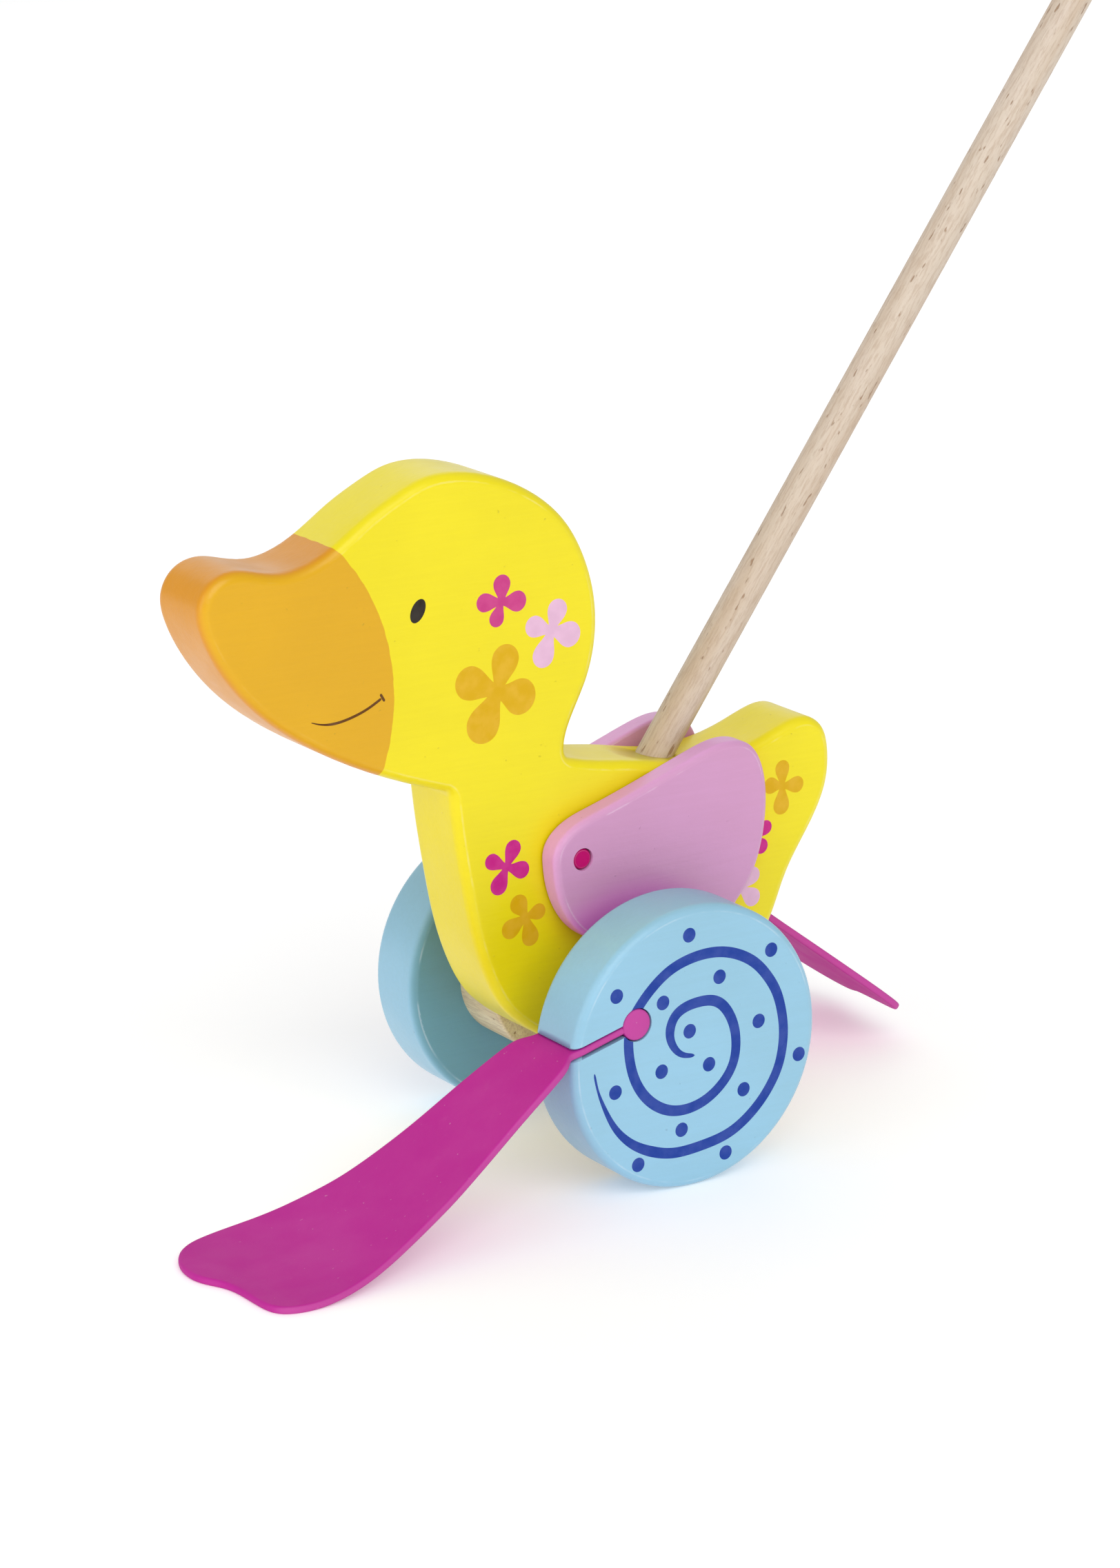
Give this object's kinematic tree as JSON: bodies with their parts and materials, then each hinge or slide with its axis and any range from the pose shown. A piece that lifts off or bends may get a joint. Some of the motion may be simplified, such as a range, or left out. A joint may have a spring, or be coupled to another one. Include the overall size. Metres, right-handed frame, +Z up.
{
  "type": "push-along wooden duck",
  "caption": "Flat wooden duck on a slanted push stick, riding between wheels whose rubber feet slap the floor as its wings flap.",
  "frame": {"origin": "on the floor, midway between the wheels, straight under the axle", "axes": "+X the way the beak points, +Y to the duck's left, +Z up"},
  "size_m": [0.454, 0.1382, 0.5037],
  "materials": {
    "body_paint": "satin yellow paint over wood",
    "wing_paint": "satin lilac paint over wood",
    "wheel_paint": "satin light blue paint over wood",
    "peg_paint": "glossy magenta paint over wood",
    "natural_wood": "clear-lacquered beech",
    "grip_paint": "satin yellow paint over wood",
    "foot_rubber": "smooth matte rubber"
  },
  "bodies": {
    "duck": {"duck_body": "body_paint", "push_stick": "natural_wood", "grip_ball": "grip_paint", "left_wing_peg": "peg_paint", "right_wing_peg": "peg_paint"},
    "wheelset": {"axle": "natural_wood", "left_hub": "natural_wood", "right_hub": "natural_wood", "left_wheel": "wheel_paint", "right_wheel": "wheel_paint", "left_foot_root": "foot_rubber", "right_foot_root": "foot_rubber"},
    "left_wing": {"left_wing": "wing_paint"},
    "right_wing": {"right_wing": "wing_paint"},
    "left_foot": {"left_foot_blade": "foot_rubber"},
    "right_foot": {"right_foot_blade": "foot_rubber"}
  },
  "joints": [
    {"name": "wheel_spin", "type": "hinge", "parent": "duck", "child": "wheelset", "pos_m": [0, 0, 0.04], "axis": [0, 1, 0], "continuous": true},
    {"name": "left_wing_swing", "type": "hinge", "parent": "duck", "child": "left_wing", "pos_m": [0.0161, 0.0161, 0.0879], "axis": [0, 1, 0], "range_deg": [0, 14]},
    {"name": "right_wing_swing", "type": "hinge", "parent": "duck", "child": "right_wing", "pos_m": [0.0161, -0.0161, 0.0879], "axis": [0, 1, 0], "range_deg": [0, 14]},
    {"name": "left_foot_flex", "type": "hinge", "parent": "wheelset", "child": "left_foot", "pos_m": [0.0414, 0.041, 0.0443], "axis": [0, 1, 0], "range_deg": [-60, 20], "stiffness_Nm_per_rad": 0.02, "springref_deg": -17.99},
    {"name": "right_foot_flex", "type": "hinge", "parent": "wheelset", "child": "right_foot", "pos_m": [-0.0279, -0.041, 0.0718], "axis": [0, 1, 0], "range_deg": [-10, 60], "stiffness_Nm_per_rad": 0.02, "springref_deg": 21.49}
  ]
}
